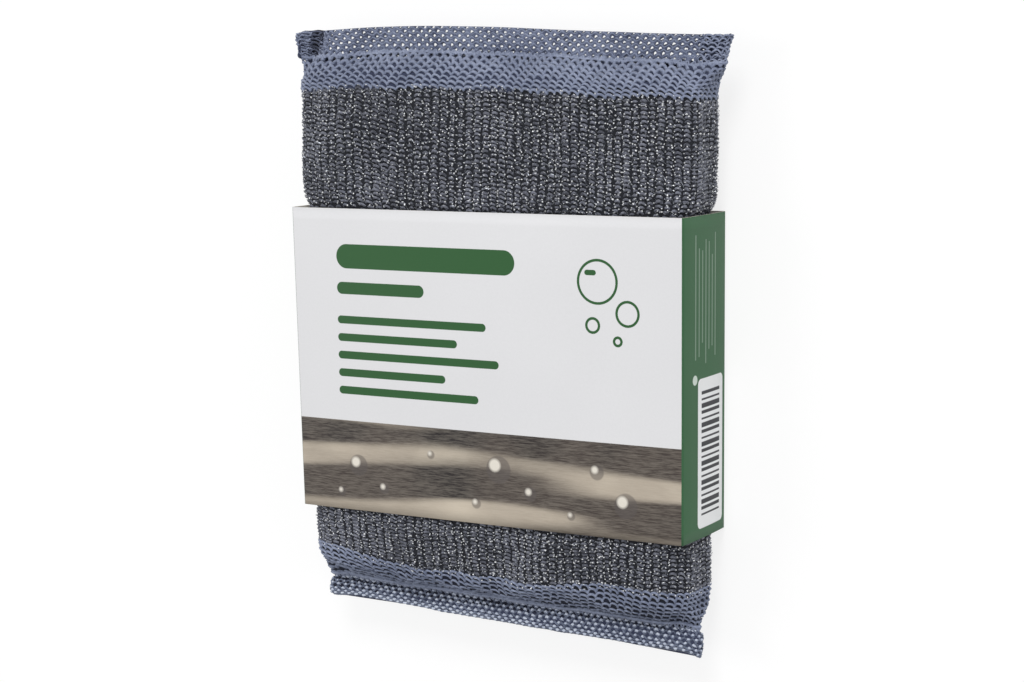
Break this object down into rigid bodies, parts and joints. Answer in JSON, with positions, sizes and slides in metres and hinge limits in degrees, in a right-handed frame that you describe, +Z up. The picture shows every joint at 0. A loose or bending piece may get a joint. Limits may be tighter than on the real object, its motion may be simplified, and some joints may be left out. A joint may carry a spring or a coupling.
{
  "type": "steel wool pad",
  "caption": "Foam-cored scouring pad in a knitted tube of plain and stainless-wire yarn, sewn shut at both ends, held in a folded card sleeve.",
  "frame": {"origin": "centre of the pad's footprint, on the surface that it lies on", "axes": "+X across the pad, +Y along it towards the flared welt, +Z up through its thickness, out of the sleeve's front panel"},
  "size_m": [0.103, 0.1271, 0.02],
  "materials": {
    "foam": "open-cell foam, out of sight inside the cover",
    "knit": "coarse knit of grey yarn, with stainless wire in the middle zone",
    "thread": "matt sewing thread",
    "card": "printed card, off-white front with a warm metallic lower strip and green sides"
  },
  "bodies": {
    "root": {"foam_core": "foam", "knit_cover": "knit", "top_seam_thread": "thread", "bottom_seam_thread": "thread", "card_sleeve": "card"}
  },
  "joints": []
}
